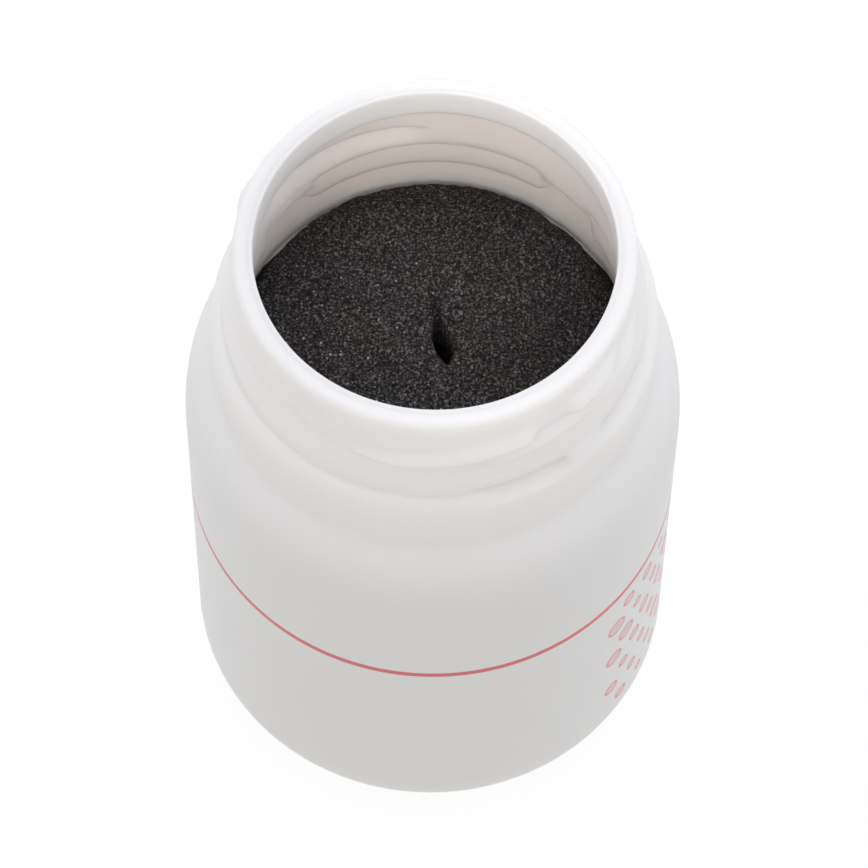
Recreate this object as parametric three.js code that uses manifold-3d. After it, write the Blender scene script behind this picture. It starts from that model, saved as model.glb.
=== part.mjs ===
// Wide-mouth jar of nail polish remover, lid off, with the soaked finger sponge inside it.
// Millimetres, +Z up, origin at the centre of the base. The front of the jar faces -Y.
// Azimuths are in degrees, from the front of the jar towards +X.

import * as THREE from 'three';
import { mergeVertices } from 'three/addons/utils/BufferGeometryUtils.js';
import Module from 'manifold-3d';

const wasm = await Module();
wasm.setup();

// Jar body: a straight round wall between the heel and the shoulder
const BODY_RADIUS = 25;
const BODY_WALL = 1.2;
const STRAIGHT_TOP = 43.3; // height at which the shoulder starts
const HEEL_RADIUS = 3;
const INNER_HEEL_RADIUS = 2.5;

// Base: a flat standing ring round a shallow push-up
const STANDING_RING_WIDTH = 4;
const PUSH_UP = 2;
const FLOOR_WALL = 1.4;

// Shoulder: a quarter of an ellipse that runs in under the foot of the neck
const SHOULDER_RISE = 12;
const SHOULDER_TURN = 2; // how far the ellipse's centre lies inside the neck
const SHOULDER_WALL = 2.7; // between the outside and the inside of the shoulder, where they meet the neck

// Neck, from its foot up to the lip: a plain wall, a ledge, a collar and the finish
const NECK_RADIUS = 22;
const NECK_WALL = 2;
const NECK_FILLET = 0.8;
const LEDGE_RISE = 8; // from the foot of the neck to the ledge
const LEDGE_ROUND = 1;
const COLLAR_RADIUS = 20.7;
const COLLAR_HEIGHT = 1.8;
const FINISH_HEIGHT = 11.75; // from the ledge to the top of the lip
const FINISH_RADIUS = 19.9; // the wall between the collar and the lip
const FINISH_BLEND = 3.2; // height over which the neck narrows above the collar

// Lip: a thicker band with a flat land for the lid's liner
const LIP_RADIUS = 19.45;
const LIP_WALL = 1.95;
const LIP_BAND = 3.6;
const LIP_BLEND = 0.9;
const LIP_ROUND = 0.6;
const LIP_EDGE_ROUND = 0.2;

// Undercut: on the right of the neck the collar overhangs the ledge
const UNDERCUT_RADIUS = 19.6;
const UNDERCUT_LOW = 0.1; // height of the root over the ledge
const UNDERCUT_HEIGHT = 0.8; // height of the collar's lower edge over the ledge

// Webs: places where a ramp fills the step between ledge and collar
const WEB_AZIMUTHS = [44.5, 136, 231];
const WEB_WIDTH = 11;
const WEB_BLEND = 3;
const WEB_RAMP = 1.9;

// Inside of the neck: a step below the finish, and a ridge under it that stops at the webs
const FINISH_BORE = 18.35;
const STEP_DROP = 10.6; // from the top of the lip to the step
const STEP_BORE = 18.6;
const RIDGE_DROP = 14.5; // from the top of the lip to the lower edge of the ridge
const RIDGE_BLEND = 0.7;
const FLARE_DROP = 2.6; // height of the flare below the step, at the webs

// Sponge: foam that fills the jar and is held behind its shoulder
const SPONGE_CLEARANCE = 0.3;
const SPONGE_RISE = 11; // from the start of the shoulder to the foam's top edge
const SPONGE_EDGE_GAP = 1.45; // between the foam's top edge and the wall of the neck
const SPONGE_ROLL_WIDTH = 4;
const SPONGE_ROLL_HEIGHT = 2;
const SPONGE_CROWN = 0.4;

// Finger slit: it runs front to back, a little askew, and gapes near its front end
const SLIT_LENGTH = 10;
const SLIT_GAPE = 1.9;
const SLIT_GAPE_PLACE = 2.5; // from the front end of the slit to where it gapes most
const SLIT_TAIL_WIDTH = 0.6; // half way along the slit
const SLIT_DEPTH = 30;
const SLIT_FRONT = [1.35, -2.5]; // place of the front end
const SLIT_TURN = 11.5;

// Facets
const JAR_SEGMENTS = 60;
const SPONGE_SEGMENTS = 40;
const ARC_STEPS = 4;
const SLIT_STEPS = 8;

// Sizes that follow from the ones above
const SHOULDER_REACH = BODY_RADIUS - NECK_RADIUS + SHOULDER_TURN;
const FOOT_Z = STRAIGHT_TOP + SHOULDER_RISE * Math.sqrt(1 - (SHOULDER_TURN / SHOULDER_REACH) ** 2);
const LEDGE_Z = FOOT_Z + LEDGE_RISE;
const COLLAR_TOP = LEDGE_Z + COLLAR_HEIGHT;
const TOP_Z = LEDGE_Z + FINISH_HEIGHT;
const STEP_Z = TOP_Z - STEP_DROP;
const RIDGE_Z = TOP_Z - RIDGE_DROP;
const LIP_BORE = LIP_RADIUS - LIP_WALL;
const NECK_BORE = NECK_RADIUS - NECK_WALL;
const BODY_BORE = BODY_RADIUS - BODY_WALL;
const RING_INNER = BODY_RADIUS - HEEL_RADIUS - STANDING_RING_WIDTH;

const { lerp, smoothstep, degToRad, radToDeg, euclideanModulo } = THREE.MathUtils;

// Points along an arc of an ellipse, as [radius, height]; angles run from +r towards +z
function ellipseArc(centre, radii, fromAngle, toAngle, steps = ARC_STEPS) {
  const curve = new THREE.EllipseCurve(...centre, ...radii, fromAngle, toAngle, toAngle < fromAngle);
  return curve.getPoints(steps);
}

// Outside of the neck at a web: a ramp from the wall of the neck up to the collar
function neckRadius(z) {
  const collar = lerp(NECK_RADIUS, COLLAR_RADIUS, smoothstep(z, LEDGE_Z - LEDGE_ROUND, LEDGE_Z + WEB_RAMP));
  const finish = lerp(collar, FINISH_RADIUS, smoothstep(z, COLLAR_TOP, COLLAR_TOP + FINISH_BLEND));
  return lerp(finish, LIP_RADIUS, smoothstep(z, TOP_Z - LIP_BAND, TOP_Z - LIP_ROUND));
}

// Outside of the neck between the webs: a rounded ledge, with the undercut above it where depth is 1
function stepRadius(z, depth) {
  const root = lerp(COLLAR_RADIUS, UNDERCUT_RADIUS, depth);
  const up = Math.min(Math.max((z - LEDGE_Z + LEDGE_ROUND) / LEDGE_ROUND, 0), 1);
  const ledge = lerp(root, NECK_RADIUS, Math.sqrt(1 - up * up));
  const over = smoothstep(z, LEDGE_Z + UNDERCUT_LOW, LEDGE_Z + UNDERCUT_HEIGHT);
  return lerp(ledge, neckRadius(Math.max(z, LEDGE_Z + WEB_RAMP)), over);
}

// Inside of the neck at a web: the flare starts at the step
function neckBore(z) {
  const step = lerp(NECK_BORE, FINISH_BORE, smoothstep(z, STEP_Z - FLARE_DROP, STEP_Z));
  return lerp(step, LIP_BORE, smoothstep(z, TOP_Z - LIP_BAND - LIP_BLEND, TOP_Z - LIP_BAND));
}

// Inside of the neck between the webs: a ridge below the step
function ridgeBore(z) {
  const ridge = lerp(NECK_BORE, STEP_BORE, smoothstep(z, RIDGE_Z - RIDGE_BLEND, RIDGE_Z));
  return lerp(ridge, neckBore(Math.max(z, STEP_Z)), smoothstep(z, STEP_Z - RIDGE_BLEND, STEP_Z));
}

// 0 at the webs and 1 between them
function openShare(azimuth) {
  const fromWebs = WEB_AZIMUTHS.map((web) => Math.abs(euclideanModulo(azimuth - web + 180, 360) - 180));
  return smoothstep(Math.min(...fromWebs), WEB_WIDTH / 2, WEB_WIDTH / 2 + WEB_BLEND);
}

// 1 on the right of the neck, where the collar overhangs the ledge, and 0 elsewhere
function undercutDepth(azimuth) {
  return smoothstep(Math.sin(degToRad(azimuth)), 0.12, 0.35);
}

// The underside of the base and the heel, or the floor of the cavity, from the axis to the wall
function baseOutline(floorZ, wallRadius, heel) {
  return [
    ...ellipseArc([0, floorZ], [RING_INNER, PUSH_UP], Math.PI / 2, 0),
    ...ellipseArc([wallRadius - heel, floorZ + heel], [heel, heel], -Math.PI / 2, 0),
  ];
}

// The shoulder's ellipse, from the wall of the body in to endRadius
function shoulderArc(wallRadius, neck, rise, endRadius) {
  const centreRadius = neck - SHOULDER_TURN;
  const reach = wallRadius - centreRadius;
  const endAngle = Math.acos((endRadius - centreRadius) / reach);
  return ellipseArc([centreRadius, STRAIGHT_TOP], [reach, rise], 0, endAngle, 2 * ARC_STEPS);
}

// The shoulder with the fillet that turns it up into the neck, at most half as wide as the shoulder
function filletedShoulder(wallRadius, neck, rise) {
  const fillet = Math.min(NECK_FILLET, (wallRadius - neck) / 2);
  const arc = shoulderArc(wallRadius, neck, rise, neck + fillet);
  const footZ = shoulderArc(wallRadius, neck, rise, neck).at(-1).y;
  const corner = new THREE.Vector2(neck, footZ);
  const end = new THREE.Vector2(neck, footZ + fillet);
  return [...arc, ...new THREE.QuadraticBezierCurve(arc.at(-1), corner, end).getPoints(ARC_STEPS).slice(1)];
}

// A closed mesh with shared vertices, from a geometry whose faces already close up
function weld(geometry) {
  geometry.deleteAttribute('normal');
  geometry.deleteAttribute('uv');
  const merged = mergeVertices(geometry, 1e-4);
  const index = merged.getIndex().array;
  const kept = [];
  for (let i = 0; i < index.length; i += 3) {
    const [a, b, c] = index.slice(i, i + 3);
    if (a !== b && b !== c && c !== a) kept.push(a, b, c);
  }
  merged.setIndex(kept);
  return merged;
}

// Revolve an outline of [radius, height] points about +Z
function revolve(outline, segments) {
  const geometry = new THREE.LatheGeometry(outline, segments);
  geometry.rotateX(Math.PI / 2);
  return weld(geometry);
}

// The jar's section at a web: up the outside from the middle of the base, over the lip and down the inside
function jarOutline() {
  const roundStart = TOP_Z - LIP_ROUND;
  const edgeStart = TOP_Z - LIP_EDGE_ROUND;
  const outerRound = [LIP_ROUND, LIP_ROUND];
  const edgeRound = [LIP_EDGE_ROUND, LIP_EDGE_ROUND];
  const outsideHeights = [
    LEDGE_Z - LEDGE_ROUND,
    LEDGE_Z - LEDGE_ROUND / 2,
    LEDGE_Z - LEDGE_ROUND / 8,
    LEDGE_Z + UNDERCUT_LOW,
    LEDGE_Z + UNDERCUT_HEIGHT,
    LEDGE_Z + WEB_RAMP,
    COLLAR_TOP + FINISH_BLEND / 2,
    COLLAR_TOP + FINISH_BLEND,
    TOP_Z - LIP_BAND,
    roundStart,
  ];
  const insideHeights = [
    RIDGE_Z - RIDGE_BLEND,
    RIDGE_Z,
    STEP_Z - FLARE_DROP / 2,
    STEP_Z - RIDGE_BLEND,
    STEP_Z,
    TOP_Z - LIP_BAND - LIP_BLEND,
    TOP_Z - LIP_BAND,
    edgeStart,
  ];
  const outside = [
    ...baseOutline(0, BODY_RADIUS, HEEL_RADIUS),
    ...filletedShoulder(BODY_RADIUS, NECK_RADIUS, SHOULDER_RISE),
    ...outsideHeights.map((z) => new THREE.Vector2(neckRadius(z), z)),
    ...ellipseArc([LIP_RADIUS - LIP_ROUND, roundStart], outerRound, 0, Math.PI / 2).slice(1),
  ];
  const inside = [
    ...baseOutline(FLOOR_WALL, BODY_BORE, INNER_HEEL_RADIUS),
    ...filletedShoulder(BODY_BORE, NECK_BORE, SHOULDER_RISE - SHOULDER_WALL),
    ...insideHeights.map((z) => new THREE.Vector2(neckBore(z), z)),
    ...ellipseArc([LIP_BORE + LIP_EDGE_ROUND, edgeStart], edgeRound, Math.PI, Math.PI / 2).slice(1),
  ];
  return [...outside, ...inside.reverse()];
}

// How far a place on the neck stands out from the section at a web
function relief(azimuth, radius, z) {
  const outside = radius > neckRadius(z) - (neckRadius(z) - neckBore(z)) / 2;
  const between = outside
    ? stepRadius(z, undercutDepth(azimuth)) - neckRadius(z)
    : ridgeBore(z) - neckBore(z);
  return openShare(azimuth) * between;
}

function jarGeometry() {
  const geometry = revolve(jarOutline(), JAR_SEGMENTS);
  const places = geometry.getAttribute('position');
  for (let i = 0; i < places.count; i += 1) {
    const [x, y, z] = [places.getX(i), places.getY(i), places.getZ(i)];
    if (z > RIDGE_Z - RIDGE_BLEND && z < TOP_Z - LIP_ROUND) {
      const radius = Math.hypot(x, y);
      const scale = 1 + relief(radToDeg(Math.atan2(x, -y)), radius, z) / radius;
      places.setXYZ(i, x * scale, y * scale, z);
    }
  }
  return geometry;
}

function toManifold(geometry) {
  const vertProperties = Float32Array.from(geometry.getAttribute('position').array);
  const triVerts = Uint32Array.from(geometry.getIndex().array);
  return new wasm.Manifold(new wasm.Mesh({ numProp: 3, vertProperties, triVerts }));
}

function toGeometry(solid) {
  const { vertProperties, triVerts } = solid.getMesh();
  const geometry = new THREE.BufferGeometry();
  geometry.setAttribute('position', new THREE.BufferAttribute(vertProperties, 3));
  geometry.setIndex(new THREE.BufferAttribute(triVerts, 1));
  geometry.computeVertexNormals();
  return geometry;
}

// The foam: it stands off the cavity by a clearance, tapers under the shoulder, and has a rolled top edge
function foamOutline() {
  const sideRadius = BODY_BORE - SPONGE_CLEARANCE;
  const edgeZ = STRAIGHT_TOP + SPONGE_RISE;
  const rollRadius = NECK_BORE - SPONGE_EDGE_GAP - SPONGE_ROLL_WIDTH;
  const rollTop = edgeZ + SPONGE_ROLL_HEIGHT;
  const roll = [SPONGE_ROLL_WIDTH, SPONGE_ROLL_HEIGHT];
  return [
    ...baseOutline(FLOOR_WALL + SPONGE_CLEARANCE, sideRadius, INNER_HEEL_RADIUS),
    new THREE.Vector2(sideRadius, STRAIGHT_TOP),
    ...ellipseArc([rollRadius, edgeZ], roll, 0, Math.PI / 2),
    ...ellipseArc([0, rollTop], [rollRadius, SPONGE_CROWN], 0, Math.PI / 2).slice(1),
  ];
}

// The slit: a lens that gapes near its front end, cut down into the foam
function slitGeometry(topZ) {
  const gape = SLIT_GAPE / 2;
  const tail = SLIT_TAIL_WIDTH / 2;
  const lens = new THREE.Shape();
  lens.moveTo(0, 0);
  lens.quadraticCurveTo(gape, 0, gape, SLIT_GAPE_PLACE);
  lens.quadraticCurveTo(tail, SLIT_LENGTH / 2, 0, SLIT_LENGTH);
  lens.quadraticCurveTo(-tail, SLIT_LENGTH / 2, -gape, SLIT_GAPE_PLACE);
  lens.quadraticCurveTo(-gape, 0, 0, 0);
  const geometry = new THREE.ExtrudeGeometry(lens, {
    depth: SLIT_DEPTH + SPONGE_CROWN,
    bevelEnabled: false,
    curveSegments: SLIT_STEPS,
  });
  geometry.rotateZ(degToRad(SLIT_TURN));
  geometry.translate(...SLIT_FRONT, topZ - SLIT_DEPTH);
  return weld(geometry);
}

function spongeGeometry() {
  const outline = foamOutline();
  const topZ = outline.at(-1).y;
  const foam = toManifold(revolve(outline, SPONGE_SEGMENTS));
  return toGeometry(foam.subtract(toManifold(slitGeometry(topZ))));
}

function namedMesh(name, geometry, material) {
  const mesh = new THREE.Mesh(geometry, material);
  mesh.name = name;
  return mesh;
}

const whitePolyethylene = new THREE.MeshStandardMaterial({ color: 0xeae8e4, roughness: 0.45, metalness: 0 });
const charcoalFoam = new THREE.MeshStandardMaterial({ color: 0x2b2b2c, roughness: 0.95, metalness: 0 });

const object = new THREE.Group();
object.add(namedMesh('jar', jarGeometry(), whitePolyethylene));
object.add(namedMesh('sponge', spongeGeometry(), charcoalFoam));

export default object;
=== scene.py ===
"""Open jar of nail polish remover with its finger sponge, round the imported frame.

Sizes of the jar and the sponge are in millimetres; lengths of the stage are in metres.
The front of the jar faces -Y. Azimuths are in degrees, from the front of the jar towards +X.
"""

import math

import bpy
from mathutils import Matrix, Vector, noise


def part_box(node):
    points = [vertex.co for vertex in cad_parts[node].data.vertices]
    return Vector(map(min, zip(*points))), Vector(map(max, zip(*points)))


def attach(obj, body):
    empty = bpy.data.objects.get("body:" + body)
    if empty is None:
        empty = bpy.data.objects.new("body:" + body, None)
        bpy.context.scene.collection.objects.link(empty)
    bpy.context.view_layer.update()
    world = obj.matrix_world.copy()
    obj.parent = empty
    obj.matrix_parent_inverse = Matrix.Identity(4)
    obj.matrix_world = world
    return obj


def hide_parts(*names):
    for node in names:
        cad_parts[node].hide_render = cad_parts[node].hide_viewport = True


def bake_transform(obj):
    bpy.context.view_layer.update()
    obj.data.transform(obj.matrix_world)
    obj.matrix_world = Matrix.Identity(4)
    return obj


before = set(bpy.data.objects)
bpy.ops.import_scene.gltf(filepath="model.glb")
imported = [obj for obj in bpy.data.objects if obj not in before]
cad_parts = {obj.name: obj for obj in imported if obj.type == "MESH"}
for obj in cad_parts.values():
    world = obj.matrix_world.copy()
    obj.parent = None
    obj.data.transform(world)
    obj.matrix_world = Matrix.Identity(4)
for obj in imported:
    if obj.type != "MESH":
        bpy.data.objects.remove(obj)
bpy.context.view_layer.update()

MM = 0.001
QUARTER_TURN = math.pi / 2

# Jar, in millimetres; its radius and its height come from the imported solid
JAR_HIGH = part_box("jar")[1] / MM
BODY_RADIUS = JAR_HIGH.x
TOP_Z = JAR_HIGH.z
BODY_WALL = 1.2
STRAIGHT_TOP = 43.3
HEEL_RADIUS = 3.0
INNER_HEEL_RADIUS = 2.5
STANDING_RING_WIDTH = 4.0
PUSH_UP = 2.0
FLOOR_WALL = 1.4
SHOULDER_RISE = 12.0
SHOULDER_TURN = 2.0
SHOULDER_WALL = 2.7
NECK_RADIUS = 22.0
NECK_WALL = 2.0
NECK_FILLET = 0.8
NECK_BORE = NECK_RADIUS - NECK_WALL
BODY_BORE = BODY_RADIUS - BODY_WALL
RING_INNER = BODY_RADIUS - HEEL_RADIUS - STANDING_RING_WIDTH

# Neck above its base: ledge, collar, threaded finish and lip
LEDGE_Z = TOP_Z - 11.75
LEDGE_ROUND = 1.0
LEDGE_SOFT_ROUND = 2.8
COLLAR_RADIUS = 20.7
COLLAR_TOP = LEDGE_Z + 1.8
FINISH_RADIUS = 19.9
FINISH_BLEND = 3.2
LIP_RADIUS = 19.45
LIP_WALL = 1.95
LIP_BAND = 3.6
LIP_BLEND = 0.9
LIP_ROUND = 0.6
LIP_EDGE_ROUND = 0.2
LIP_GROOVE_PLACE = 0.5
LIP_GROOVE_WIDTH = 0.2
LIP_GROOVE_DEPTH = 0.15
LIP_BORE = LIP_RADIUS - LIP_WALL

# Undercut between ledge and collar on the right of the neck, and webs that fill the step
UNDERCUT_RADIUS = 19.5
UNDERCUT_LOW = 0.5
UNDERCUT_HEIGHT = 0.85
UNDERCUT_SPAN = (7.0, 140.0)
UNDERCUT_FADE = 14.0
WEB_AZIMUTHS = (44.5, 136.0, 231.0)
WEB_WIDTH = 11.0
WEB_BLEND = 3.0
WEB_RAMP = 1.9

# Inside of the neck: two steps outwards below the finish
FINISH_BORE = 18.35
STEP_BORE = 18.8
STEP_Z = TOP_Z - 11.5
STEP_RISE = 2.2
STEP_SHARPNESS = 3
RIDGE_Z = TOP_Z - 14.9
RIDGE_DROP = 0.7
RIDGE_TAPER = 7.0
FLARE_DROP = 2.6

# Screw thread: right-hand runs, alike in the two halves of the mould; azimuths and fades in degrees
MOULD_HALVES = 2
THREAD_MIDDLE_Z = TOP_Z - 5.45
THREAD_LEAD = 13.4
THREAD_HEIGHT = 1.0
THREAD_FLANK = 1.25
IMPRINT_DEPTH = 0.6
IMPRINT_UPPER_FLANK = 1.0
IMPRINT_LOWER_FLANK = 3.4
IMPRINT = {"start": 1.0, "end": 70.0, "fade_in": 10.0, "fade_out": 14.0, "drop": 3.0}
THREAD_RUNS = (
    {"start": -30.0, "end": 30.5, "fade_in": 24.0, "fade_out": 4.0, "drop": 0.0},
    {"start": 39.0, "end": 66.0, "fade_in": 4.0, "fade_out": 12.0, "drop": 0.0},
    {"start": 6.0, "end": 78.0, "fade_in": 16.0, "fade_out": 14.0, "drop": 1.75},
)

# Painted light: a faint warm glow of light through the wall, painted inside the neck at the back
NECK_GLOW_MIDDLE_Z = TOP_Z - 12.0
NECK_GLOW_HEIGHT = 15.0
NECK_GLOW_SOFTNESS = 0.5
NECK_GLOW_SKIN = (0.1, 0.4)
NECK_GLOW_SPREAD = (2.0, 14.0)
NECK_GLOW_LEAN = 0.2

# Sponge, in millimetres
SPONGE_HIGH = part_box("sponge")[1] / MM
SPONGE_CLEARANCE = 0.3
SPONGE_NECK_RADIUS = 18.95
SPONGE_NECK_Z = 54.3
SPONGE_ROLL_WIDTH = 4.0
SPONGE_ROLL_HEIGHT = 2.0
SPONGE_CROWN = 0.4

# Finger slit in the sponge
SLIT_FRONT = -2.5
SLIT_FRONT_X = 1.35
SLIT_BACK_X = 0.25
SLIT_GAPE_LENGTH = 5.4
SLIT_LENGTH = 10.0
SLIT_GAPE = 1.9
SLIT_DEPTH = 11.0
SLIT_LEAN = 0.8
SLIT_BLUNTNESS = 0.8
SLIT_EDGE = (-0.12, 0.4)
SLIT_FRONT_FADE = (-0.12, 0.15)
SLIT_BACK_FADE = 0.55
CREASE_DEPTH = 1.5
CREASE_WIDTH = 0.3
PINCH_DEPTH = 0.8
PINCH_WIDTH = 1.7

# Surface of the foam: how deep it goes, pores, and noise as pairs of height and waves per millimetre
FOAM_TOP_DEPTH = 5.0
PORE_SIZE = 0.62
PORE_EDGE = (0.1, 0.55)
PORE_DEPTH = 0.16
SWELL = ((0.25, 0.22), (0.12, 0.6))
ROUGHNESS = ((0.05, 4.0),)
RAGGEDNESS = ((0.3, 0.3), (0.2, 0.9))

# Printed stripe round the body
STRIPE_Z = 31.5
STRIPE_WIDTH = 0.8
STRIPE_SOFTNESS = 0.06
STRIPE_WOBBLE = 0.06

# Printed panel on the right of the body
PRINT_AZIMUTH = 92.0
PRINT_HALF_SPAN = 44.0
PRINT_LOW_Z = 4.0
PRINT_ROWS = 7
PRINT_LINE = 0.34
PRINT_SOFTNESS = 0.05
DOT_PITCH = 3.7
DOT_RADIUS = 1.4

# Span of the neck that has relief
RELIEF_LOW = RIDGE_Z - RIDGE_DROP
RELIEF_HIGH = TOP_Z - LIP_ROUND

# Mesh: numbers of steps round and along the outlines, and lengths in millimetres
JAR_STEPS = 288
PLAIN_STEP = 0.6
RELIEF_STEP = 0.15
SPONGE_STEPS = 480
CROWN_STEPS = 95
SIDE_STEPS = 28
ROLL_STEPS = 30
PUSH_UP_STEPS = 12
HEEL_STEPS = 10
SHOULDER_STEPS = 28
FILLET_STEPS = 8
LIP_STEPS = 8
LIP_EDGE_STEPS = 4
MERGE_DISTANCE = 0.002


def bump(x):
    """A smooth bump: 1 at 0, and 0 from -1 down and from 1 up."""
    return (1 + math.cos(math.pi * x)) / 2 if abs(x) < 1 else 0.0


def smooth(x, low, high):
    """0 up to low, 1 from high on, and a smooth rise between them."""
    t = min(max((x - low) / (high - low), 0.0), 1.0)
    return t * t * (3 - 2 * t)


def mix(a, b, share):
    return a + (b - a) * share


def arc(centre, radii, start, end, steps):
    """Points on an arc of an ellipse, as (radius, height); angles run from +radius towards +height."""
    angles = [mix(start, end, i / steps) for i in range(steps + 1)]
    return [(centre[0] + radii[0] * math.cos(a), centre[1] + radii[1] * math.sin(a)) for a in angles]


# Outlines of the two pieces


def neck_radius(z):
    """Outside of the neck at a web, without the thread."""
    collar = mix(NECK_RADIUS, COLLAR_RADIUS, smooth(z, LEDGE_Z - LEDGE_ROUND, LEDGE_Z + WEB_RAMP))
    finish = mix(collar, FINISH_RADIUS, smooth(z, COLLAR_TOP, COLLAR_TOP + FINISH_BLEND))
    return mix(finish, LIP_RADIUS, smooth(z, TOP_Z - LIP_BAND - LIP_BLEND, TOP_Z - LIP_BAND + LIP_BLEND))


def step_radius(z, depth):
    """Outside of the neck between the webs: where depth is 1, a crisp ledge with an undercut above it."""
    root = mix(COLLAR_RADIUS, UNDERCUT_RADIUS, depth)
    ledge_round = mix(LEDGE_SOFT_ROUND, LEDGE_ROUND, depth)
    up = min(max((z - LEDGE_Z) / ledge_round + 1, 0.0), 1.0)
    ledge = mix(root, NECK_RADIUS, math.sqrt(1 - up * up))
    over = smooth(z, LEDGE_Z + UNDERCUT_LOW, LEDGE_Z + UNDERCUT_HEIGHT)
    return mix(ledge, neck_radius(max(z, LEDGE_Z + WEB_RAMP)), over)


def neck_bore(z):
    """Inside of the neck at a web: the flare starts at the step."""
    step = mix(NECK_BORE, FINISH_BORE, smooth(z, STEP_Z - FLARE_DROP, STEP_Z))
    return mix(step, LIP_BORE, smooth(z, TOP_Z - LIP_BAND - LIP_BLEND, TOP_Z - LIP_BAND))


def ridge_bore(z, length):
    """Inside of the neck between the webs: a ridge below the step, whole where length is 1."""
    low_z = mix(STEP_Z - RIDGE_DROP, RIDGE_Z, length)
    ridge = mix(NECK_BORE, STEP_BORE, smooth(z, low_z - RIDGE_DROP, low_z))
    fall = min(max(1 - (z - STEP_Z) / STEP_RISE, 0.0), 1.0)
    wall = neck_bore(max(z, STEP_Z))
    wall += (STEP_BORE - FINISH_BORE) * fall ** STEP_SHARPNESS
    return mix(ridge, wall, smooth(z, STEP_Z - RIDGE_DROP, STEP_Z))


def base_outline(floor_z, wall_radius, heel):
    """Push-up, standing ring and heel of a floor, from the axis to the wall."""
    return [
        *arc((0, floor_z), (RING_INNER, PUSH_UP), QUARTER_TURN, 0, PUSH_UP_STEPS),
        *arc((wall_radius - heel, floor_z + heel), (heel, heel), -QUARTER_TURN, 0, HEEL_STEPS),
    ]


def shoulder_arc(wall_radius, neck, rise, end_radius):
    """Shoulder from the straight wall up to a radius, on an ellipse that the neck cuts off."""
    centre = neck - SHOULDER_TURN
    reach = wall_radius - centre
    end = math.acos((end_radius - centre) / reach)
    return arc((centre, STRAIGHT_TOP), (reach, rise), 0, end, SHOULDER_STEPS)


def filleted_shoulder(wall_radius, neck, rise):
    """Shoulder, with a fillet where it meets the neck."""
    points = shoulder_arc(wall_radius, neck, rise, neck + NECK_FILLET)
    start = points[-1]
    corner = (neck, shoulder_arc(wall_radius, neck, rise, neck)[-1][1])
    end = (neck, corner[1] + NECK_FILLET)
    for i in range(1, FILLET_STEPS + 1):
        t = i / FILLET_STEPS
        weights = ((1 - t) ** 2, 2 * t * (1 - t), t * t)
        points.append(tuple(sum(w * p[k] for w, p in zip(weights, (start, corner, end))) for k in (0, 1)))
    return points


def ladder(marks, step):
    """Heights from above the first mark to the last, about a step apart, with every mark among them."""
    heights = []
    for low, high in zip(marks, marks[1:]):
        count = max(1, round((high - low) / step))
        heights += [mix(low, high, i / count) for i in range(1, count + 1)]
    return heights


def jar_outline():
    """The jar's section at a web: up the outside, over the lip and down the inside."""
    round_start = TOP_Z - LIP_ROUND
    edge_start = TOP_Z - LIP_EDGE_ROUND
    outside = base_outline(0, BODY_RADIUS, HEEL_RADIUS)
    outside += filleted_shoulder(BODY_RADIUS, NECK_RADIUS, SHOULDER_RISE)
    inside = base_outline(FLOOR_WALL, BODY_BORE, INNER_HEEL_RADIUS)
    inside += filleted_shoulder(BODY_BORE, NECK_BORE, SHOULDER_RISE - SHOULDER_WALL)
    undercut_top = LEDGE_Z + UNDERCUT_HEIGHT
    marks = (LEDGE_Z - LEDGE_SOFT_ROUND, LEDGE_Z, LEDGE_Z + UNDERCUT_LOW, undercut_top, round_start)
    heights = ladder((outside[-1][1], marks[0]), PLAIN_STEP) + ladder(marks, RELIEF_STEP)
    outside += [(neck_radius(z), z) for z in heights]
    band = TOP_Z - LIP_BAND
    marks = (RIDGE_Z - RIDGE_DROP, RIDGE_Z, STEP_Z - RIDGE_DROP, STEP_Z)
    marks += (band - LIP_BLEND, band, band + LIP_BLEND)
    heights = ladder((inside[-1][1], marks[0]), PLAIN_STEP) + ladder(marks, RELIEF_STEP)
    heights += ladder((marks[-1], edge_start), PLAIN_STEP)
    inside += [(neck_bore(z), z) for z in heights]
    round_centre = (LIP_RADIUS - LIP_ROUND, round_start)
    outside += arc(round_centre, (LIP_ROUND, LIP_ROUND), 0, QUARTER_TURN, LIP_STEPS)[1:]
    groove = LIP_BORE + LIP_GROOVE_PLACE
    for side, depth in ((1, 0), (0, LIP_GROOVE_DEPTH), (-1, 0)):
        outside.append((groove + side * LIP_GROOVE_WIDTH / 2, TOP_Z - depth))
    edge_centre = (LIP_BORE + LIP_EDGE_ROUND, edge_start)
    edge_radii = (LIP_EDGE_ROUND, LIP_EDGE_ROUND)
    inside += arc(edge_centre, edge_radii, math.pi, QUARTER_TURN, LIP_EDGE_STEPS)[1:]
    return outside + inside[::-1]


def from_web(azimuth):
    """Degrees from the edge of the nearest web; below 0 on a web."""
    return min(abs((azimuth - web + 180) % 360 - 180) for web in WEB_AZIMUTHS) - WEB_WIDTH / 2


def open_share(azimuth):
    """0 at the webs and 1 between them."""
    return smooth(from_web(azimuth), 0, WEB_BLEND)


def ridge_length(azimuth):
    """0 at the webs, with a blunt rise to 1 between them."""
    along = min(max(from_web(azimuth) / RIDGE_TAPER, 0.0), 1.0)
    return math.sqrt(along * (2 - along))


def undercut_depth(azimuth):
    """1 on the right of the neck, where the collar overhangs the ledge, and 0 elsewhere."""
    start, end = UNDERCUT_SPAN
    return smooth(azimuth - start, 0, UNDERCUT_FADE) * smooth(end - azimuth, 0, UNDERCUT_FADE)


def along_run(run, azimuth):
    """How much of a thread run there is at an azimuth, and the height of its crest there."""
    best = (0.0, THREAD_MIDDLE_Z)
    for half in range(MOULD_HALVES):
        turned = (azimuth - half * 360 / MOULD_HALVES - run["start"]) % 360 + run["start"]
        share = smooth(turned, run["start"], run["start"] + run["fade_in"])
        share *= smooth(run["end"] - turned, 0, run["fade_out"])
        best = max(best, (share, THREAD_MIDDLE_Z - run["drop"] + THREAD_LEAD * turned / 360))
    return best


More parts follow.
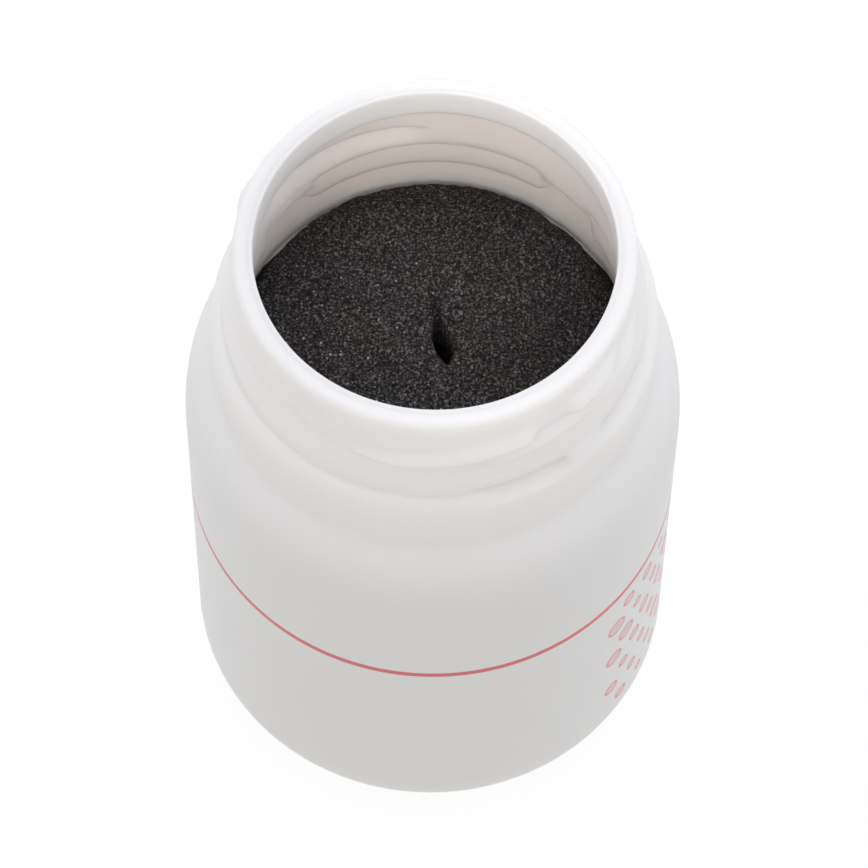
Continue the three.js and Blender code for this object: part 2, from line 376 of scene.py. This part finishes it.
def thread(azimuth, z):
    """Height of the thread over the outside of the neck."""
    runs = (along_run(run, azimuth) for run in THREAD_RUNS)
    return max(THREAD_HEIGHT * share * bump((z - crest_z) / THREAD_FLANK) for share, crest_z in runs)


def imprint(azimuth, z):
    """Depth of the hollow that the thread leaves in the inside of the neck."""
    share, crest_z = along_run(IMPRINT, azimuth)
    flank = IMPRINT_UPPER_FLANK if z > crest_z else IMPRINT_LOWER_FLANK
    return IMPRINT_DEPTH * share * bump((z - crest_z) / flank)


# Modelling


def spun_solid(name, outline, steps):
    """One vertex, extruded along the outline in the XZ plane, and the edges then spun about Z."""
    bpy.ops.object.select_all(action="DESELECT")
    bpy.ops.mesh.primitive_plane_add(size=MM)
    piece = bpy.context.active_object
    piece.name = name
    bpy.ops.object.mode_set(mode="EDIT")
    bpy.ops.mesh.select_all(action="SELECT")
    bpy.ops.mesh.merge(type="CENTER")
    bpy.ops.transform.translate(value=(outline[0][0] * MM, 0, outline[0][1] * MM))
    for a, b in zip(outline, outline[1:]):
        step = ((b[0] - a[0]) * MM, 0, (b[1] - a[1]) * MM)
        bpy.ops.mesh.extrude_region_move(TRANSFORM_OT_translate={"value": step})
    bpy.ops.mesh.select_all(action="SELECT")
    bpy.ops.mesh.spin(steps=steps, angle=math.tau, center=(0, 0, 0), axis=(0, 0, 1))
    bpy.ops.mesh.select_all(action="SELECT")
    bpy.ops.mesh.remove_doubles(threshold=MERGE_DISTANCE * MM)
    bpy.ops.mesh.normals_make_consistent(inside=False)
    bpy.ops.object.mode_set(mode="OBJECT")
    bpy.ops.object.shade_smooth()
    return piece


def azimuth_of(x, y):
    return math.degrees(math.atan2(x, -y))


def make_jar():
    """The jar, with the relief of its neck: ledge, undercut, webs, ridge, thread and hollow."""
    jar = spun_solid("jar_shell", jar_outline(), JAR_STEPS)
    for vertex in jar.data.vertices:
        x, y, z = vertex.co / MM
        if RELIEF_LOW < z < RELIEF_HIGH:
            radius = math.hypot(x, y)
            azimuth = azimuth_of(x, y)
            if radius > neck_radius(z) - NECK_WALL / 2:
                share = open_share(azimuth)
                step = step_radius(z, undercut_depth(azimuth))
                relief = share * (step - neck_radius(z)) + thread(azimuth, z)
            else:
                share = smooth(from_web(azimuth), 0, RIDGE_TAPER)
                ridge = ridge_bore(z, ridge_length(azimuth))
                relief = share * (ridge - neck_bore(z)) + imprint(azimuth, z)
            vertex.co.xy *= 1 + relief / radius
    return jar


def slit_depth(x, y):
    """How far the top of the foam is drawn down into the finger slit."""
    along = (y - SLIT_FRONT) / SLIT_GAPE_LENGTH
    centre = mix(SLIT_FRONT_X, SLIT_BACK_X, along)
    across = abs(x - centre)
    hole = 0.0
    if 0 < along < 1:
        half = SLIT_GAPE / 2 * math.sin(math.pi * along ** SLIT_LEAN) ** SLIT_BLUNTNESS
        hole = SLIT_DEPTH * smooth(half - across, *SLIT_EDGE)
    reach = (y - SLIT_FRONT) / SLIT_LENGTH
    fade = smooth(reach, *SLIT_FRONT_FADE) * smooth(1 - reach, 0, SLIT_BACK_FADE)
    crease = CREASE_DEPTH * fade * math.exp(-((across / CREASE_WIDTH) ** 2))
    pinch = PINCH_DEPTH * fade * math.exp(-((across / PINCH_WIDTH) ** 2))
    return max(hole, crease + pinch)


def waves(place, layers):
    """Noise at a place, summed over pairs of height and waves per millimetre."""
    return sum(height * noise.noise(place * per_mm) for height, per_mm in layers)


def sponge_outline():
    """The foam's section: floor, side, shoulder, rolled edge and crown."""
    side_radius = BODY_BORE - SPONGE_CLEARANCE
    roll_radius = SPONGE_NECK_RADIUS - SPONGE_ROLL_WIDTH
    roll_top = SPONGE_NECK_Z + SPONGE_ROLL_HEIGHT
    roll = (SPONGE_ROLL_WIDTH, SPONGE_ROLL_HEIGHT)
    rises = [i / SIDE_STEPS for i in range(1, SIDE_STEPS)]
    side = [(mix(side_radius, SPONGE_NECK_RADIUS, t), mix(STRAIGHT_TOP, SPONGE_NECK_Z, t)) for t in rises]
    shares = [1 - i / CROWN_STEPS for i in range(1, CROWN_STEPS + 1)]
    crown = [(roll_radius * share, roll_top + SPONGE_CROWN * (1 - share * share)) for share in shares]
    return [
        *base_outline(FLOOR_WALL + SPONGE_CLEARANCE, side_radius, INNER_HEEL_RADIUS),
        (side_radius, STRAIGHT_TOP),
        *side,
        *arc((roll_radius, SPONGE_NECK_Z), roll, 0, QUARTER_TURN, ROLL_STEPS),
        *crown,
    ]


def make_sponge():
    """The sponge, with a foam surface, a ragged edge and the finger slit."""
    sponge = spun_solid("finger_sponge", sponge_outline(), SPONGE_STEPS)
    top_start = SPONGE_HIGH.z - FOAM_TOP_DEPTH
    for vertex in sponge.data.vertices:
        x, y, z = vertex.co / MM
        if z > top_start:
            place = Vector((x, y, z))
            distances = noise.voronoi(place / PORE_SIZE)[0]
            pore = PORE_DEPTH * (1 - smooth(distances[0], *PORE_EDGE))
            rise = waves(place, SWELL) - pore + waves(place, ROUGHNESS)
            vertex.co.z += (rise - slit_depth(x, y)) * MM
            rag = waves(place, RAGGEDNESS) - pore
            vertex.co.xy *= 1 + rag / BODY_RADIUS
    return sponge


# Materials

RESIN_COLOURS = ((0.915, 0.898, 0.872), (0.935, 0.922, 0.90))
# Painted light: warm glow of light through the wall, inside the neck at the back
NECK_GLOW_COLOUR = (0.895, 0.825, 0.785)
STRIPE_INK = (0.70, 0.04, 0.06)
STRIPE_COVER = 0.93
DOT_INK = (0.82, 0.12, 0.16)
DOT_FILL_COVER = 0.4
DOT_EDGE_COVER = 0.35
RESIN_SCATTER = (5.0, 4.5, 4.0)
# Painted shade in the foam's pores
PORE_SHADE_COLOUR = (0.004, 0.004, 0.004)
FOAM_COLOURS = ((0.165, 0.145, 0.135), (0.155, 0.144, 0.146))
FOAM_CONTRAST = 9.0
FOAM_BRIGHTNESS = 0.215
# Painted highlights on the foam
GLINT_COLOUR = (0.72, 0.72, 0.74)
GLINT_COVER = 0.85


class Wire:
    """A node's output that takes part in Python expressions."""

    def __init__(self, finish, socket):
        self.finish = finish
        self.socket = socket

    def maths(self, operation, *values):
        return self.finish.node("ShaderNodeMath", {"operation": operation}, dict(enumerate(values)))

    def __add__(self, other):
        return self.maths("ADD", self, other)

    def __radd__(self, other):
        return self.maths("ADD", other, self)

    def __sub__(self, other):
        return self.maths("SUBTRACT", self, other)

    def __rsub__(self, other):
        return self.maths("SUBTRACT", other, self)

    def __mul__(self, other):
        return self.maths("MULTIPLY", self, other)

    def __rmul__(self, other):
        return self.maths("MULTIPLY", other, self)

    def __truediv__(self, other):
        return self.maths("DIVIDE", self, other)

    def __neg__(self):
        return self.maths("MULTIPLY", self, -1.0)

    def __abs__(self):
        return self.maths("ABSOLUTE", self)

    def ramp(self, low, high, start=0.0, end=1.0):
        """start up to low, end from high on, with a smooth change between them."""
        settings = {"interpolation_type": "SMOOTHSTEP", "clamp": True}
        values = {"Value": self, "From Min": low, "From Max": high, "To Min": start, "To Max": end}
        return self.finish.node("ShaderNodeMapRange", settings, values)

    def below(self, limit, softness):
        """1 below a limit and 0 above it, with a smooth change between them."""
        return self.ramp(limit - softness, limit + softness, 1.0, 0.0)


class Finish:
    """A material under one Principled shader."""

    def __init__(self, name):
        self.material = bpy.data.materials.new(name)
        self.material.use_nodes = True
        self.tree = self.material.node_tree
        self.tree.nodes.clear()
        self.shader = self.tree.nodes.new("ShaderNodeBsdfPrincipled")
        self.output = self.tree.nodes.new("ShaderNodeOutputMaterial")
        self.tree.links.new(self.shader.outputs[0], self.output.inputs["Surface"])

    def put(self, node, key, value):
        socket = node.inputs[key] if isinstance(key, int) else next(
            s for s in node.inputs if key in (s.identifier, s.name))
        if isinstance(value, Wire):
            self.tree.links.new(value.socket, socket)
        else:
            socket.default_value = value

    def node(self, kind, settings=None, values=None, output=0):
        made = self.tree.nodes.new(kind)
        for key, value in (settings or {}).items():
            setattr(made, key, value)
        for key, value in (values or {}).items():
            self.put(made, key, value)
        socket = made.outputs[output] if isinstance(output, int) else next(
            s for s in made.outputs if output in (s.identifier, s.name))
        return Wire(self, socket)

    def set(self, **values):
        for key, value in values.items():
            self.put(self.shader, key.replace("_", " "), value)

    def place(self):
        """Object coordinates in millimetres, as x, y, z and as one vector."""
        coords = self.node("ShaderNodeTexCoord", output="Object")
        vector = self.node("ShaderNodeVectorMath", {"operation": "SCALE"}, {0: coords, "Scale": 1 / MM})
        axes = [self.node("ShaderNodeSeparateXYZ", values={0: vector}, output=k) for k in range(3)]
        return (*axes, vector)

    def noise(self, vector, per_mm, detail=2.0, roughness=0.5):
        return self.node("ShaderNodeTexNoise", values={
            "Vector": vector, "Scale": per_mm, "Detail": detail, "Roughness": roughness})

    def cells(self, vector, per_mm, output="Distance"):
        return self.node("ShaderNodeTexVoronoi", values={"Vector": vector, "Scale": per_mm}, output=output)

    def colour(self, share, a, b):
        """A colour between a and b; a and b are colours or wires."""
        ends = {k: v if isinstance(v, Wire) else (*v, 1.0) for k, v in (("A_Color", a), ("B_Color", b))}
        values = {"Factor_Float": share, **ends}
        return self.node("ShaderNodeMix", {"data_type": "RGBA"}, values, "Result_Color")

    def bump_map(self, height, distance_mm, strength=1.0):
        return self.node("ShaderNodeBump", values={
            "Height": height, "Distance": distance_mm * MM, "Strength": strength})


def jar_plastic():
    """White blown polyethylene with a satin skin, a fine printed stripe and a panel of printed dots."""
    finish = Finish("white_polyethylene")
    x, y, z, place = finish.place()
    cloud = finish.noise(place, per_mm=0.09, detail=3.0)
    grain = finish.noise(place, per_mm=3.5, detail=3.0, roughness=0.6)
    wobble = STRIPE_WOBBLE * (finish.noise(place, per_mm=4.0) - 0.5)
    radius = x.maths("SQRT", x * x + y * y)
    wall_middle = BODY_RADIUS - BODY_WALL / 2
    outside = radius.ramp(wall_middle - 0.1, wall_middle + 0.1)
    stripe = abs(z - STRIPE_Z + wobble).below(STRIPE_WIDTH / 2, STRIPE_SOFTNESS) * outside
    dots = printed_dots(finish, x, y, z) * outside
    resin = finish.colour(cloud, *RESIN_COLOURS)
    # Painted light: a warm glow of light through the wall, on the inside of the neck at the back
    with_neck_glow = finish.colour(painted_neck_glow(x, y, z, radius), resin, NECK_GLOW_COLOUR)
    dotted = finish.colour(dots, with_neck_glow, DOT_INK)
    finish.set(
        Base_Color=finish.colour(stripe * STRIPE_COVER, dotted, STRIPE_INK),
        Roughness=0.40 + 0.1 * grain - 0.08 * stripe,
        Normal=finish.bump_map(grain, distance_mm=0.02, strength=0.35),
        IOR=1.5,
        Subsurface_Weight=0.66,
        Subsurface_Scale=MM,
        Subsurface_Radius=RESIN_SCATTER,
    )
    return finish.material


def painted_neck_glow(x, y, z, radius):
    """Where a warm glow of light through the wall is painted on the inside of the neck: at the back,
    fading towards the sides.
    """
    inner_radius = z.ramp(RIDGE_Z - RIDGE_DROP, RIDGE_Z, NECK_BORE, STEP_BORE)
    within = (radius - inner_radius).ramp(*NECK_GLOW_SKIN, 1.0, 0.0)
    behind = (y + NECK_GLOW_LEAN * x).ramp(*NECK_GLOW_SPREAD)
    return within * behind * abs(z - NECK_GLOW_MIDDLE_Z).below(NECK_GLOW_HEIGHT / 2, NECK_GLOW_SOFTNESS)


def printed_dots(finish, x, y, z):
    """Ink of the printed panel: staggered pale dots of several sizes with a darker edge."""
    around = x.maths("ARCTAN2", x, -y) * BODY_RADIUS
    row = (z - PRINT_LOW_Z) / DOT_PITCH
    row_number = row.maths("FLOOR", row)
    shift = row_number.maths("FLOORED_MODULO", row_number, 2.0) / 2
    column = around / DOT_PITCH + shift
    column_number = column.maths("FLOOR", column)
    across = (column - column_number - 0.5) * DOT_PITCH
    up = (row - row_number - 0.5) * DOT_PITCH
    cell = finish.node("ShaderNodeCombineXYZ", values={0: column_number, 1: row_number})
    luck = finish.node("ShaderNodeTexWhiteNoise", {"noise_dimensions": "2D"}, {"Vector": cell})
    dot_radius = DOT_RADIUS * (0.5 + 0.5 * luck)
    inward = dot_radius - x.maths("SQRT", across * across + up * up)
    fill = inward.ramp(-PRINT_SOFTNESS, PRINT_SOFTNESS)
    edge = abs(inward - PRINT_LINE / 2).below(PRINT_LINE / 2, PRINT_SOFTNESS)
    middle = around - across - math.radians(PRINT_AZIMUTH) * BODY_RADIUS
    half_span = math.radians(PRINT_HALF_SPAN) * BODY_RADIUS
    panel = x.maths("LESS_THAN", abs(middle), half_span)
    rows = abs(row_number - (PRINT_ROWS - 1) / 2)
    panel = panel * x.maths("LESS_THAN", rows, PRINT_ROWS / 2)
    return (DOT_FILL_COVER * fill + DOT_EDGE_COVER * edge) * panel


def sparkle(finish, place, per_mm, size, luck):
    """Small bright spots, one in some of the cells; size is in cells, luck the share of cells without."""
    spot = finish.cells(place, per_mm).ramp(size / 2, size, 1.0, 0.0)
    tint = finish.cells(place, per_mm, output="Color")
    return spot * finish.node("ShaderNodeSeparateColor", values={0: tint}).ramp(luck, 1.0)


def sponge_foam():
    """Charcoal foam: fine open cells, with painted shade in the pores, painted glints here and there, and
    painted light towards the front and the left.
    """
    finish = Finish("charcoal_foam")
    x, y, z, place = finish.place()
    wander = finish.noise(place, per_mm=2.2)
    pores = finish.cells(place, per_mm=2.4)
    grit = finish.noise(place, per_mm=3.9, roughness=0.55)
    patch = finish.noise(place, per_mm=0.12)
    shine = grit.maths("EXPONENT", FOAM_CONTRAST * (grit - 0.5))
    web = FOAM_BRIGHTNESS * shine * (0.7 + 0.5 * pores.ramp(0.2, 0.75))
    # Painted light: brighter foam and more glints towards the front and the left, where the light falls
    front_left_light = (-0.05 * (x + y)).ramp(-0.9, 1.4, 0.3, 1.0)
    # Painted highlights: bright spots in the base colour where the foam's walls catch the light
    large = sparkle(finish, place, per_mm=1.1, size=0.17, luck=0.35)
    small = 0.5 * sparkle(finish, place, per_mm=2.3, size=0.27, luck=0.3)
    glint = large.maths("MAXIMUM", large, small) * front_left_light
    wall = finish.colour(patch.ramp(0.35, 0.65), *FOAM_COLOURS)
    # Painted shade: the speckle runs from near-black pores to the lighter charcoal walls between them
    foam = finish.colour(web * (0.75 + 0.35 * front_left_light), PORE_SHADE_COLOUR, wall)
    finish.set(
        Base_Color=finish.colour(glint * GLINT_COVER, foam, GLINT_COLOUR),
        Roughness=0.85 - 0.45 * glint,
        Normal=finish.bump_map(grit + 0.4 * wander, distance_mm=0.18, strength=0.7),
        IOR=1.2,
    )
    return finish.material


# The stage, in metres: a plain white floor, soft light all round and the photograph's camera

CAMERA_DISTANCE = 0.4918
CAMERA_ELEVATION = math.radians(61.80)
CAMERA_TARGET_Z = 0.03643
CAMERA_ROLL = 0.0162
CAMERA_FOCAL_PIXELS = 4795.0
CAMERA_SHIFT_PIXELS = 1.79
CAMERA_SENSOR_MM = 36.0
CAMERA_CLIP_START = 0.01
FRAME_PIXELS = 868

FLOOR_SIZE = 6.0
FLOOR_GLOW = 0.64
FLOOR_WHITE = 1.03
FLOOR_PALE = (0.95, 0.95, 0.95)
FLOOR_TINT = (1.0, 0.975, 0.94)
SHADOW_SHARE = 0.16

SKY_BRIGHT_SIDE = (0.14, 0.88, 0.45)
SKY_FRONT = (0.6, 0.57, 0.53)
SKY_BACK = (1.13, 1.14, 1.23)

FRONT_LIGHT_PLACE = (-0.15, -1.0, 0.34)
FRONT_LIGHT_SIZE = (1.0, 0.5)
FRONT_LIGHT_WATTS = 0.7
FRONT_LIGHT_COLOUR = (1.0, 0.97, 0.93)

MOUTH_LIGHT_TARGET = (0.003, 0.016, 0.0585)
MOUTH_LIGHT_DISTANCE = 0.6
MOUTH_LIGHT_ELEVATION = math.radians(48.0)
MOUTH_LIGHT_RADIUS = 0.006
MOUTH_LIGHT_WATTS = 4.6
MOUTH_LIGHT_COLOUR = (1.0, 0.95, 0.89)
MOUTH_BEAM_RADIUS = 0.018
MOUTH_BEAM_BLEND = 0.6


def from_front(elevation):
    """Direction from the jar to what stands in front of it, at an elevation."""
    return Vector((0, -math.cos(elevation), math.sin(elevation)))


def make_camera():
    data = bpy.data.cameras.new("camera")
    camera = bpy.data.objects.new("camera", data)
    bpy.context.scene.collection.objects.link(camera)
    data.sensor_width = CAMERA_SENSOR_MM
    data.lens = CAMERA_FOCAL_PIXELS / FRAME_PIXELS * data.sensor_width
    data.shift_x = CAMERA_SHIFT_PIXELS / FRAME_PIXELS
    data.clip_start = CAMERA_CLIP_START
    target = Vector((0, 0, CAMERA_TARGET_Z))
    away = from_front(CAMERA_ELEVATION)
    turn = away.to_track_quat("Z", "Y").to_matrix().to_4x4()
    place = Matrix.Translation(target + CAMERA_DISTANCE * away)
    camera.matrix_world = place @ turn @ Matrix.Rotation(CAMERA_ROLL, 4, "Z")
    bpy.context.scene.camera = camera


def seen_directly(tree):
    """1 for what the camera sees directly, in a reflection or through glass, and 0 for light."""
    path = tree.nodes.new("ShaderNodeLightPath")
    total = path.outputs["Is Camera Ray"]
    for name in ("Is Glossy Ray", "Is Transmission Ray"):
        either = tree.nodes.new("ShaderNodeMath")
        either.operation = "MAXIMUM"
        tree.links.new(total, either.inputs[0])
        tree.links.new(path.outputs[name], either.inputs[1])
        total = either.outputs[0]
    return total


def make_floor():
    """A floor that looks white, with a slight shadow, and that lights the jar with an even glow."""
    bpy.ops.object.select_all(action="DESELECT")
    bpy.ops.mesh.primitive_plane_add(size=FLOOR_SIZE)
    floor = bpy.context.active_object
    floor.name = "floor"
    material = bpy.data.materials.new("white_floor")
    material.use_nodes = True
    tree = material.node_tree
    tree.nodes.clear()
    glow = tree.nodes.new("ShaderNodeEmission")
    glow.inputs["Color"].default_value = (*FLOOR_TINT, 1)
    glow.inputs["Strength"].default_value = FLOOR_GLOW
    pale = tree.nodes.new("ShaderNodeBsdfDiffuse")
    pale.inputs["Color"].default_value = (*FLOOR_PALE, 1)
    white = tree.nodes.new("ShaderNodeEmission")
    white.inputs["Strength"].default_value = FLOOR_WHITE
    shown = tree.nodes.new("ShaderNodeMixShader")
    shown.inputs[0].default_value = SHADOW_SHARE
    either = tree.nodes.new("ShaderNodeMixShader")
    output = tree.nodes.new("ShaderNodeOutputMaterial")
    tree.links.new(white.outputs[0], shown.inputs[1])
    tree.links.new(pale.outputs[0], shown.inputs[2])
    tree.links.new(seen_directly(tree), either.inputs[0])
    tree.links.new(glow.outputs[0], either.inputs[1])
    tree.links.new(shown.outputs[0], either.inputs[2])
    tree.links.new(either.outputs[0], output.inputs["Surface"])
    floor.data.materials.append(material)


def make_world():
    """A soft sky: warm and lower in front and on the left, cool and brighter behind and on the right."""
    world = bpy.data.worlds.new("soft_studio")
    bpy.context.scene.world = world
    world.use_nodes = True
    tree = world.node_tree
    tree.nodes.clear()
    coords = tree.nodes.new("ShaderNodeTexCoord")
    across = tree.nodes.new("ShaderNodeVectorMath")
    across.operation = "DOT_PRODUCT"
    across.inputs[1].default_value = SKY_BRIGHT_SIDE
    sky = tree.nodes.new("ShaderNodeValToRGB")
    sky.color_ramp.interpolation = "EASE"
    for stop, (place, colour) in zip(sky.color_ramp.elements, ((0.0, SKY_FRONT), (1.0, SKY_BACK))):
        stop.position = place
        stop.color = (*colour, 1)
    half = tree.nodes.new("ShaderNodeMath")
    half.operation = "MULTIPLY_ADD"
    half.inputs[1].default_value = 0.5
    half.inputs[2].default_value = 0.5
    light = tree.nodes.new("ShaderNodeBackground")
    white = tree.nodes.new("ShaderNodeBackground")
    white.inputs["Color"].default_value = (1, 1, 1, 1)
    either = tree.nodes.new("ShaderNodeMixShader")
    output = tree.nodes.new("ShaderNodeOutputWorld")
    tree.links.new(coords.outputs["Generated"], across.inputs[0])
    tree.links.new(across.outputs["Value"], half.inputs[0])
    tree.links.new(half.outputs[0], sky.inputs[0])
    tree.links.new(sky.outputs[0], light.inputs["Color"])
    tree.links.new(seen_directly(tree), either.inputs[0])
    tree.links.new(light.outputs[0], either.inputs[1])
    tree.links.new(white.outputs[0], either.inputs[2])
    tree.links.new(either.outputs[0], output.inputs["Surface"])


def place_lamp(data, place, target, watts, colour):
    """Hang a lamp that lights the scene and isn't seen itself."""
    data.energy = watts
    data.color = colour
    lamp = bpy.data.objects.new(data.name, data)
    bpy.context.scene.collection.objects.link(lamp)
    lamp.location = place
    aim = Vector(target) - lamp.location
    lamp.rotation_euler = aim.to_track_quat("-Z", "Y").to_euler()
    lamp.visible_camera = False
    lamp.visible_glossy = False


def make_front_light():
    data = bpy.data.lights.new("front_light", "AREA")
    data.shape = "RECTANGLE"
    data.size, data.size_y = FRONT_LIGHT_SIZE
    target = (0, 0, CAMERA_TARGET_Z)
    place_lamp(data, FRONT_LIGHT_PLACE, target, FRONT_LIGHT_WATTS, FRONT_LIGHT_COLOUR)


def make_mouth_light():
    """A narrow soft beam from the front, over the front of the lip and on to the inside of the neck."""
    data = bpy.data.lights.new("mouth_light", "SPOT")
    data.shadow_soft_size = MOUTH_LIGHT_RADIUS
    data.spot_size = 2 * math.atan(MOUTH_BEAM_RADIUS / MOUTH_LIGHT_DISTANCE)
    data.spot_blend = MOUTH_BEAM_BLEND
    place = Vector(MOUTH_LIGHT_TARGET) + MOUTH_LIGHT_DISTANCE * from_front(MOUTH_LIGHT_ELEVATION)
    place_lamp(data, place, MOUTH_LIGHT_TARGET, MOUTH_LIGHT_WATTS, MOUTH_LIGHT_COLOUR)


def main():
    bpy.context.scene.view_settings.view_transform = "Standard"
    jar = make_jar()
    jar.data.materials.append(jar_plastic())
    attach(jar, "jar")
    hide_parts("jar")

    sponge = make_sponge()
    sponge.data.materials.append(sponge_foam())
    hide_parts("sponge")
    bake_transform(sponge)

    make_floor()
    make_world()
    make_front_light()
    make_mouth_light()
    make_camera()


main()
